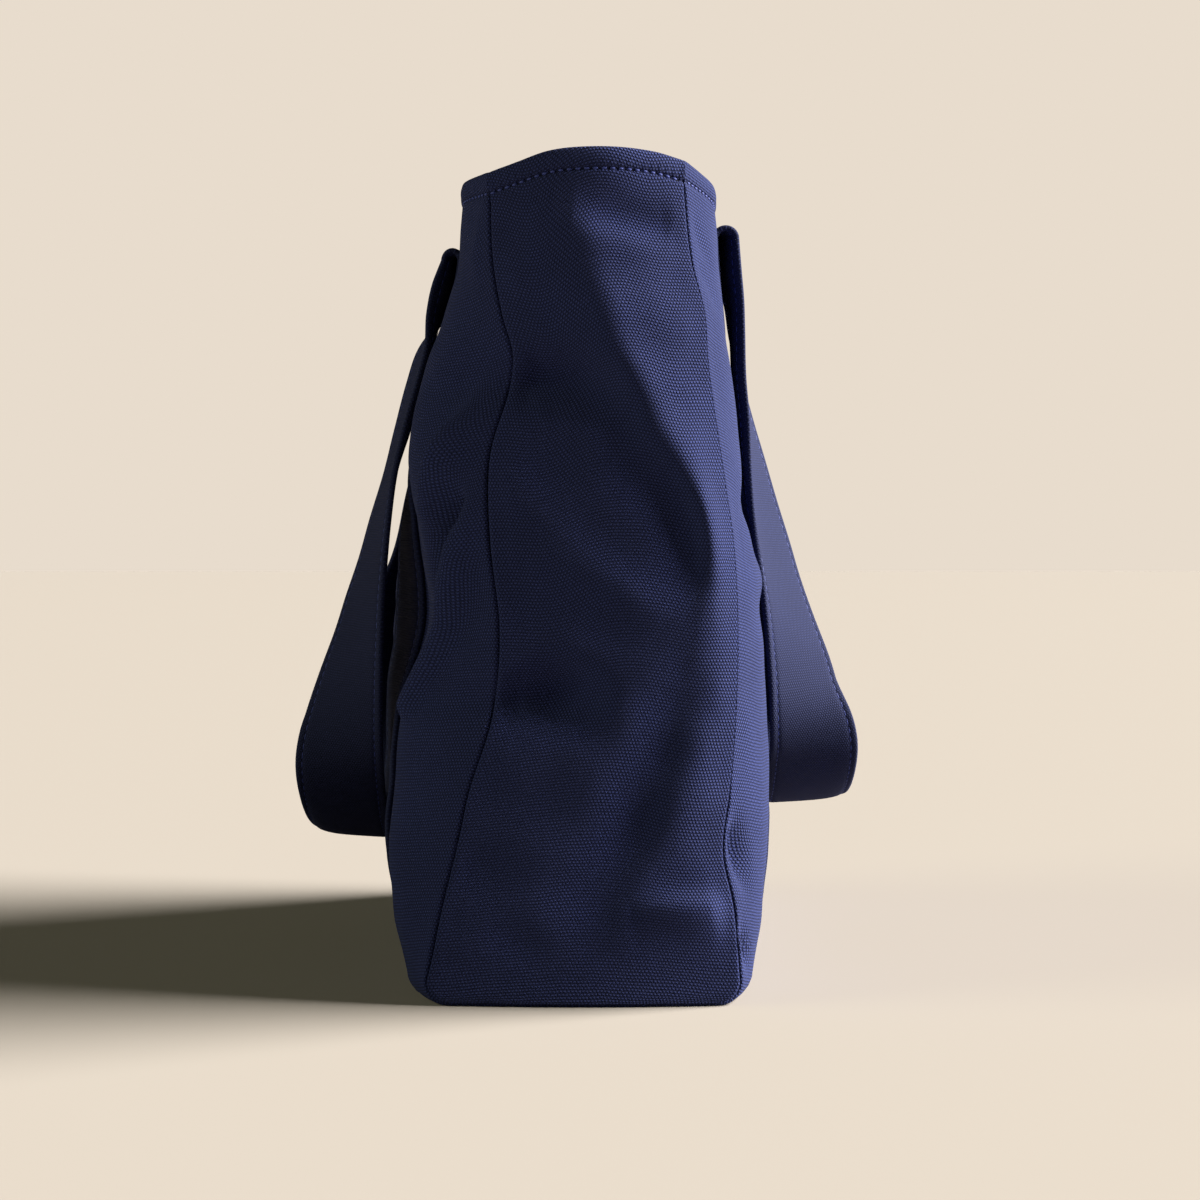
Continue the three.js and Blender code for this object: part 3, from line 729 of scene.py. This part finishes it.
def strap_half(side, end, q):
    """Rows across half a strap: up from its sewn end, over the fold and down to the loop's
    middle. The end is 1 near and -1 far."""
    loop = LOOPS[side]
    direction, bottom = loop["direction"], loop["bottom"]
    half = STRAP_WIDTH / 2
    from_near = (q + 1) / 2
    fold_foot = loop["fold_top"] - STRAP_FOLD_RADIUS - 1

    def inner_at(z):
        return along(loop, "z", "inner", z)

    def twist_at(z):
        ease = 1 if end == 1 else 1 - (1 - loop["far_twist"]) * smoothstep(z, 140, 200)
        return ease * np.radians(along(loop, "z", "twist", z))

    def outwards(z, twist):
        flare = along(loop, "z", "flare", z) * (1 - np.exp(-from_near / FLARE_SHARE))
        return inner_at(z) + STRAP_WIDTH * np.sin(twist) * from_near - flare

    def sewn(z):
        x = end * (STRAP_X - half * q) + 0 * z
        low = np.exp(-(((z - LOW_SLACK_HEIGHT) / LOW_SLACK_REACH) ** 2))
        stand_off = STRAP_LIFT + loop["low_slack"] * low
        return np.stack([x, direction * (panel_reach(side, x, z) + stand_off), z + 0 * x], axis=-1)

    rows = [sewn(np.linspace(STRAP_END_HEIGHT, fold_foot, STRAP_SEWN_ROWS)[:, None])]
    foot = rows[0][-1]
    angle = np.linspace(0, np.pi, STRAP_FOLD_ROWS + 1)[1:, None]
    share = (1 - np.cos(angle)) / 2
    twist = twist_at(fold_foot)
    x = end * (STRAP_X - half * q * (1 - share + share * math.cos(twist)))
    y = np.abs(foot[:, 1]) * (1 - share) + outwards(fold_foot, twist) * share
    z = fold_foot + np.sin(angle) * (loop["fold_top"] - fold_foot) + 0 * q
    rows.append(np.stack([x, direction * y, z], axis=-1))
    z = np.linspace(fold_foot, loop["turn_top"], STRAP_LEG_ROWS + 1)[1:, None]
    drift = smoothstep(fold_foot - z, 60, fold_foot - loop["turn_top"])
    centre = STRAP_X + (loop["spread"] - STRAP_X) * drift
    twist = twist_at(z)
    x = end * (centre - half * q * np.cos(twist))
    rows.append(np.stack([x, direction * outwards(z, twist), z + 0 * q], axis=-1))
    angle = np.linspace(0, np.pi / 2, STRAP_TURN_ROWS + 1)[1:, None]
    depth = loop["turn_top"] - bottom
    sideways = -loop["spread"] * np.sin(angle)
    down = -depth * np.cos(angle)
    length = np.hypot(sideways, down)
    z = loop["turn_top"] - depth * np.sin(angle)
    twist = twist_at(z)
    flat = half * np.cos(twist) * q
    x = end * (loop["spread"] * np.cos(angle) + flat * down / length)
    corner = np.sin(angle) ** 2 * from_near**6
    y = direction * (outwards(z, twist) - loop["corner_in"] * corner)
    lifted = loop["tilt"] * np.sin(angle) ** 2 * from_near + loop["corner_up"] * corner
    rows.append(np.stack([x, y, z - flat * sideways / length + lifted], axis=-1))
    return np.concatenate(rows)


def strap_cloth(side):
    q, depth = strap_profile()
    middle = np.concatenate([strap_half(side, 1, q), strap_half(side, -1, q)[-2::-1]])
    normal = unit(np.cross(np.gradient(middle, axis=1), np.gradient(middle, axis=0)))
    faces_out = middle + normal * depth[:, None]
    faces_in = middle - normal * depth[:, None]
    ring = np.concatenate([faces_out, faces_in[:, -2:0:-1]], axis=1)
    rows, around = ring.shape[:2]
    flat = cloth_map(middle, 0, len(q) // 2)
    flat = np.concatenate([flat, flat[:, -2:0:-1]], axis=1)
    index = np.arange(rows * around).reshape(rows, around)
    closed = np.concatenate([index, index[:, :1]], axis=1)
    quads = [Cloth.join(closed)]
    columns = len(q)
    for row, order in ((0, 1), (-1, -1)):
        top = index[row, :columns]
        under = np.concatenate([top[:1], index[row, :columns - 1:-1], top[-1:]])
        cap = np.stack([top[:-1], under[:-1], under[1:], top[1:]], axis=1)[:, ::order]
        quads.append(cap[1:-1])
        for a, b, c in ((top[0], under[1], top[1]), (top[-2], under[-2], top[-1])):
            quads.append(np.array([(a, b, c, c)])[:, ::order])
    return ring, flat, np.concatenate(quads), middle, normal, q, depth


def strap_piece(side, material):
    ring, flat, quads, middle, normal, q, depth = strap_cloth(side)
    faces = [tuple(dict.fromkeys(face)) for face in quads.tolist()]
    name = "strap_cloth_" + side
    points = ring.reshape(-1, 3)
    below = np.full(len(points), FAR_BELOW)
    made = cloth_object(name, points, faces, flat.reshape(-1, 2), below, material)
    half = STRAP_WIDTH / 2
    place = (half - EDGE_STITCH) / half
    paths = []
    for where in (-place, place):
        column = int(np.argmin(np.abs(q - where)))
        lift = depth[column] + 0.02
        for face in (1, -1):
            paths.append(middle[:, column] + face * lift * normal[:, column])
    return made, paths


# Stitches: a geometry nodes tree lays one short thread after another along each path

def add_node(tree, kind, inputs=None, **settings):
    """Adds one node with its settings, and links or sets its inputs."""
    node = tree.nodes.new(kind)
    for name, value in settings.items():
        setattr(node, name, value)
    for key, value in (inputs or {}).items():
        if isinstance(value, bpy.types.NodeSocket):
            tree.links.new(value, node.inputs[key])
        else:
            node.inputs[key].default_value = value
    return node


def calculate(tree, operation, *values):
    return add_node(tree, "ShaderNodeMath", dict(enumerate(values)), operation=operation)


def stitch_tree():
    tree = bpy.data.node_groups.new("stitch_row", "GeometryNodeTree")
    face = tree.interface
    face.new_socket("Geometry", in_out="INPUT", socket_type="NodeSocketGeometry")
    for name in ("Pitch", "Stitch Length", "Thread Radius"):
        face.new_socket(name, in_out="INPUT", socket_type="NodeSocketFloat")
    face.new_socket("Thread", in_out="INPUT", socket_type="NodeSocketMaterial")
    face.new_socket("Geometry", in_out="OUTPUT", socket_type="NodeSocketGeometry")
    given = add_node(tree, "NodeGroupInput")
    half = calculate(tree, "MULTIPLY", given.outputs["Stitch Length"], 0.5)
    size = add_node(tree, "ShaderNodeCombineXYZ", {
        "X": half.outputs[0], "Y": given.outputs["Thread Radius"],
        "Z": given.outputs["Thread Radius"]})
    ball = add_node(tree, "GeometryNodeMeshUVSphere", {"Segments": 6, "Rings": 5, "Radius": 1.0})
    lie = add_node(tree, "GeometryNodeTransform", {
        "Geometry": ball.outputs["Mesh"], "Rotation": (0, math.pi / 2, 0)})
    thread = add_node(tree, "GeometryNodeTransform", {
        "Geometry": lie.outputs["Geometry"], "Scale": size.outputs[0]})
    spaced = add_node(tree, "GeometryNodeResampleCurve", {
        "Curve": given.outputs["Geometry"], "Length": given.outputs["Pitch"]}, mode="LENGTH")
    tangent = add_node(tree, "GeometryNodeInputTangent")
    turn = add_node(tree, "FunctionNodeAlignRotationToVector", {
        "Vector": tangent.outputs[0]}, axis="X")
    rows = add_node(tree, "GeometryNodeInstanceOnPoints", {
        "Points": spaced.outputs[0], "Instance": thread.outputs["Geometry"],
        "Rotation": turn.outputs[0]})
    real = add_node(tree, "GeometryNodeRealizeInstances", {"Geometry": rows.outputs[0]})
    smooth = add_node(tree, "GeometryNodeSetShadeSmooth", {"Geometry": real.outputs[0]})
    finished = add_node(tree, "GeometryNodeSetMaterial", {
        "Geometry": smooth.outputs[0], "Material": given.outputs["Thread"]})
    add_node(tree, "NodeGroupOutput", {0: finished.outputs[0]})
    return tree


def stitch_piece(name, tree, paths, pitch, length, radius, thread):
    """Runs the stitch tree along some paths and keeps the result as a plain mesh."""
    curve = bpy.data.curves.new(name + "_paths", "CURVE")
    curve.dimensions = "3D"
    for path in paths:
        spline = curve.splines.new("POLY")
        spline.points.add(len(path) - 1)
        places = np.ones((len(path), 4))
        places[:, :3] = (path + (0, BACK_SHIFT, 0)) * MM
        spline.points.foreach_set("co", places.ravel())
    line = bpy.data.objects.new(name + "_paths", curve)
    bpy.context.scene.collection.objects.link(line)
    modifier = line.modifiers.new("stitches", "NODES")
    modifier.node_group = tree
    values = {"Pitch": pitch * MM, "Stitch Length": length * MM, "Thread Radius": radius * MM,
              "Thread": thread}
    for socket in tree.interface.items_tree:
        if socket.in_out == "INPUT" and socket.name in values:
            modifier[socket.identifier] = values[socket.name]
    graph = bpy.context.evaluated_depsgraph_get()
    mesh = bpy.data.meshes.new_from_object(line.evaluated_get(graph), depsgraph=graph)
    mesh.name = name
    bpy.data.objects.remove(line)
    made = bpy.data.objects.new(name, mesh)
    bpy.context.scene.collection.objects.link(made)
    return made


# Materials

def linear(colour):
    """An sRGB hex colour as linear RGBA."""
    parts = [int(colour[i:i + 2], 16) / 255 for i in (1, 3, 5)]
    return tuple(c / 12.92 if c <= 0.04045 else ((c + 0.055) / 1.055) ** 2.4 for c in parts) + (1,)


def new_material(name):
    material = bpy.data.materials.new(name)
    material.use_nodes = True
    material.node_tree.nodes.clear()
    return material, material.node_tree


def hem_sewing(tree, place):
    """How the hem's stitches draw the canvas in: a dip along the row that is deepest at the
    needle holes, with small puckers above it. Gives the bent surface and a mask for painted shade in
    the dip at the holes."""
    below = add_node(tree, "ShaderNodeAttribute", attribute_name="below_rim")
    depth = calculate(tree, "MULTIPLY", below.outputs["Fac"], 1000.0)
    along_row = add_node(tree, "ShaderNodeSeparateXYZ", {0: place.outputs[0]})
    turns = calculate(tree, "MULTIPLY", along_row.outputs[0], 2 * math.pi / HEM_STITCH_PITCH)
    beat = calculate(tree, "COSINE", turns.outputs[0])
    between = calculate(tree, "MULTIPLY_ADD", beat.outputs[0], -0.5, 0.5)

    def band(centre, width):
        off = calculate(tree, "SUBTRACT", depth.outputs[0], centre)
        share = calculate(tree, "DIVIDE", off.outputs[0], width)
        square = calculate(tree, "MULTIPLY", share.outputs[0], share.outputs[0])
        fall = calculate(tree, "MULTIPLY", square.outputs[0], -1.0)
        return calculate(tree, "EXPONENT", fall.outputs[0])

    row = band(HEM_STITCH_DEPTH, 0.7)
    pucker = band(HEM_STITCH_DEPTH - 2.2, 1.8)
    drawn = calculate(tree, "MULTIPLY", row.outputs[0], between.outputs[0])
    ruffle = calculate(tree, "MULTIPLY", pucker.outputs[0], between.outputs[0])
    dip = calculate(tree, "MULTIPLY_ADD", ruffle.outputs[0], 0.3, drawn.outputs[0])
    bent = add_node(tree, "ShaderNodeBump", {
        "Strength": 1.0, "Distance": -1.0 * MM, "Height": dip.outputs[0]})
    # Mask of painted shade in the stitch row's dip, darkest at the needle holes.
    hole_shade = calculate(tree, "MULTIPLY", drawn.outputs[0], between.outputs[0])
    return bent, hole_shade


# Coarse cotton canvas, piece-dyed navy: thick round yarns in a brick-like weave with dark pits between
# them, whose darkness is partly the gaps' own colour and partly painted shade, a matt face and a
# little fuzz that catches a low light.
def cotton_canvas(name, yarn, pit, row_pitch, yarn_pitch, depth):
    material, tree = new_material(name)
    flat = add_node(tree, "ShaderNodeUVMap", uv_map="flat_cloth")
    place = add_node(tree, "ShaderNodeVectorMath", {0: flat.outputs[0], 1: (1000, 1000, 1000)},
                     operation="MULTIPLY")
    wander = add_node(tree, "ShaderNodeTexNoise", {
        "Vector": place.outputs[0], "Scale": 1 / 20, "Detail": 2.0, "Roughness": 0.6})
    slack = add_node(tree, "ShaderNodeTexNoise", {
        "Vector": place.outputs[0], "Scale": 1 / 2.4, "Detail": 1.0})
    wander_by = add_node(tree, "ShaderNodeVectorMath", {
        0: wander.outputs["Color"], 1: (1.3, 1.5, 0), 2: place.outputs[0]},
        operation="MULTIPLY_ADD")
    slack_by = add_node(tree, "ShaderNodeVectorMath", {
        0: slack.outputs["Color"], 1: (0.26, 0.2, 0), 2: wander_by.outputs[0]},
        operation="MULTIPLY_ADD")
    weave = add_node(tree, "ShaderNodeTexBrick", {
        "Vector": slack_by.outputs[0], "Color1": (0.75, 0.75, 0.75, 1), "Color2": (1, 1, 1, 1),
        "Mortar": (0.85, 0.85, 0.85, 1), "Scale": 1.0, "Mortar Size": 0.52 * row_pitch,
        "Mortar Smooth": 1.0, "Bias": 0.0, "Brick Width": yarn_pitch, "Row Height": row_pitch},
        offset=0.5, offset_frequency=2, squash=1.0)
    crown = calculate(tree, "SUBTRACT", 1.0, weave.outputs["Fac"])
    tone = add_node(tree, "ShaderNodeSeparateColor", {"Color": weave.outputs["Color"]})
    height = calculate(tree, "MULTIPLY", crown.outputs[0], tone.outputs[0])
    sewn, hole_shade = hem_sewing(tree, place)
    bump = add_node(tree, "ShaderNodeBump", {
        "Strength": 1.0, "Distance": depth * MM, "Height": height.outputs[0],
        "Normal": sewn.outputs[0]})
    # The pit colour darkens the low places of the weave: partly the gaps' own colour, partly painted
    # shade in the hollows.
    woven = add_node(tree, "ShaderNodeMix", {
        "Factor": height.outputs[0], "A": linear(pit), "B": linear(yarn)},
        data_type="RGBA")
    # Painted shade: the dip at the hem's needle holes takes the dark pit colour.
    colour = add_node(tree, "ShaderNodeMix", {
        "Factor": hole_shade.outputs[0], "A": woven.outputs[2], "B": linear(pit)},
        data_type="RGBA")
    fade = add_node(tree, "ShaderNodeTexNoise", {
        "Vector": place.outputs[0], "Scale": 1 / 45, "Detail": 4.0, "Roughness": 0.65})
    brightness = add_node(tree, "ShaderNodeMapRange", {
        "Value": fade.outputs["Fac"], "From Min": 0.3, "From Max": 0.7,
        "To Min": 0.92, "To Max": 1.08})
    worn = add_node(tree, "ShaderNodeVectorMath", {
        0: colour.outputs[2], "Scale": brightness.outputs[0]}, operation="SCALE")
    surface = add_node(tree, "ShaderNodeBsdfPrincipled", {
        "Base Color": worn.outputs[0], "Roughness": 0.92, "Specular IOR Level": 0.25,
        "Sheen Weight": 0.1, "Sheen Roughness": 0.45, "Sheen Tint": linear("#7f86c8"),
        "Normal": bump.outputs[0]})
    add_node(tree, "ShaderNodeOutputMaterial", {"Surface": surface.outputs[0]})
    return material


# Polyester sewing thread, dyed to match: smoother than the canvas, with a low gleam.
def sewing_thread():
    material, tree = new_material("polyester_thread")
    surface = add_node(tree, "ShaderNodeBsdfPrincipled", {
        "Base Color": linear("#3a478e"), "Roughness": 0.6, "Specular IOR Level": 0.4})
    add_node(tree, "ShaderNodeOutputMaterial", {"Surface": surface.outputs[0]})
    return material


# Matt pale paint, the floor that the bag stands on. It looks pale but throws less light back up.
def pale_floor():
    material, tree = new_material("pale_floor")
    path = add_node(tree, "ShaderNodeLightPath")
    tone = add_node(tree, "ShaderNodeMix", {
        "Factor": path.outputs["Is Camera Ray"], "A": linear("#837c75"), "B": linear("#afa79d")},
        data_type="RGBA")
    surface = add_node(tree, "ShaderNodeBsdfPrincipled", {
        "Base Color": tone.outputs[2], "Roughness": 0.95, "Specular IOR Level": 0.1})
    add_node(tree, "ShaderNodeOutputMaterial", {"Surface": surface.outputs[0]})
    return material


# The stage: camera, lights and floor

def set_camera():
    camera = bpy.data.cameras.new("camera")
    camera.sensor_width = 36
    camera.lens = 84.87
    holder = bpy.data.objects.new("camera", camera)
    holder.location = (1.340, 0.01075, 0.195)
    holder.rotation_euler = (math.radians(90 - 1.417), 0, math.radians(90))
    bpy.context.scene.collection.objects.link(holder)
    bpy.context.scene.camera = holder


def aim(holder, towards):
    """Turns a sun to shine from one side and adds it to the scene."""
    elevation = math.atan2(towards[2], math.hypot(towards[0], towards[1]))
    azimuth = math.atan2(towards[1], towards[0])
    holder.rotation_euler = (0, math.pi / 2 - elevation, azimuth)
    bpy.context.scene.collection.objects.link(holder)


def set_light():
    window = bpy.data.lights.new("window", "SUN")
    window.energy = 13.4
    window.angle = math.radians(46)
    window.color = (1.0, 0.97, 0.94)
    holder = bpy.data.objects.new("window", window)
    aim(holder, (-0.13, 0.90, 0.42))
    wall = bpy.data.lights.new("pale_wall", "SUN")
    wall.energy = 0.86
    wall.angle = math.radians(38)
    wall.color = (1.0, 1.03, 0.78)
    holder = bpy.data.objects.new("pale_wall", wall)
    aim(holder, (0.2, -0.9, 0.38))

    # The pale room behind the bag looks bright but lights it only a little
    world = bpy.data.worlds.new("room")
    world.use_nodes = True
    tree = world.node_tree
    tree.nodes.clear()
    path = add_node(tree, "ShaderNodeLightPath")
    room = add_node(tree, "ShaderNodeBackground", {"Color": linear("#dcd2b4"), "Strength": 0.028})
    behind = add_node(tree, "ShaderNodeBackground", {"Color": linear("#e8dccd"), "Strength": 1.0})
    seen = add_node(tree, "ShaderNodeMixShader", {
        0: path.outputs["Is Camera Ray"], 1: room.outputs[0], 2: behind.outputs[0]})
    add_node(tree, "ShaderNodeOutputWorld", {"Surface": seen.outputs[0]})
    bpy.context.scene.world = world


def set_floor():
    size = 12.0
    mesh = bpy.data.meshes.new("floor")
    corners = [(-size, -size, 0), (size, -size, 0), (size, size, 0), (-size, size, 0)]
    mesh.from_pydata(corners, [], [(0, 1, 2, 3)])
    mesh.materials.append(pale_floor())
    floor = bpy.data.objects.new("floor", mesh)
    bpy.context.scene.collection.objects.link(floor)


set_camera()
set_light()
set_floor()
bpy.context.scene.view_settings.view_transform = "Standard"

canvas = cotton_canvas("navy_cotton_canvas", "#414e8e", "#151b3c", 1.3, 1.45, 0.66)
strap_canvas = cotton_canvas("navy_strap_canvas", "#2c345f", "#191e3a", 1.1, 1.2, 0.24)
thread = sewing_thread()
stitches = stitch_tree()

body, body_paths = body_cloth(canvas)
near, near_path = gusset_cloth("gusset_cloth_near", 1, 1, canvas)
far, far_path = gusset_cloth("gusset_cloth_far", -1, FAR_FOLD_SHARE, canvas)
hem_paths = [path for paths in (*body_paths, near_path, far_path) for path in paths]
hem_row = stitch_piece("hem_stitches", stitches, hem_paths, HEM_STITCH_PITCH, 2.2, 0.55, thread)
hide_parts("body")
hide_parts("gusset_near")
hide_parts("gusset_far")
for piece in (body, near, far):
    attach(piece, "root")
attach(hem_row, "root")

for side in ("front", "back"):
    strap, strap_paths = strap_piece(side, strap_canvas)
    rows = stitch_piece("strap_stitches_" + side, stitches, strap_paths, STRAP_STITCH_PITCH,
                        3.0, 0.26, thread)
    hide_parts("strap_" + side)
    for piece, slot in ((strap, "strap_canvas"), (rows, "thread")):
        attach(piece, "root")
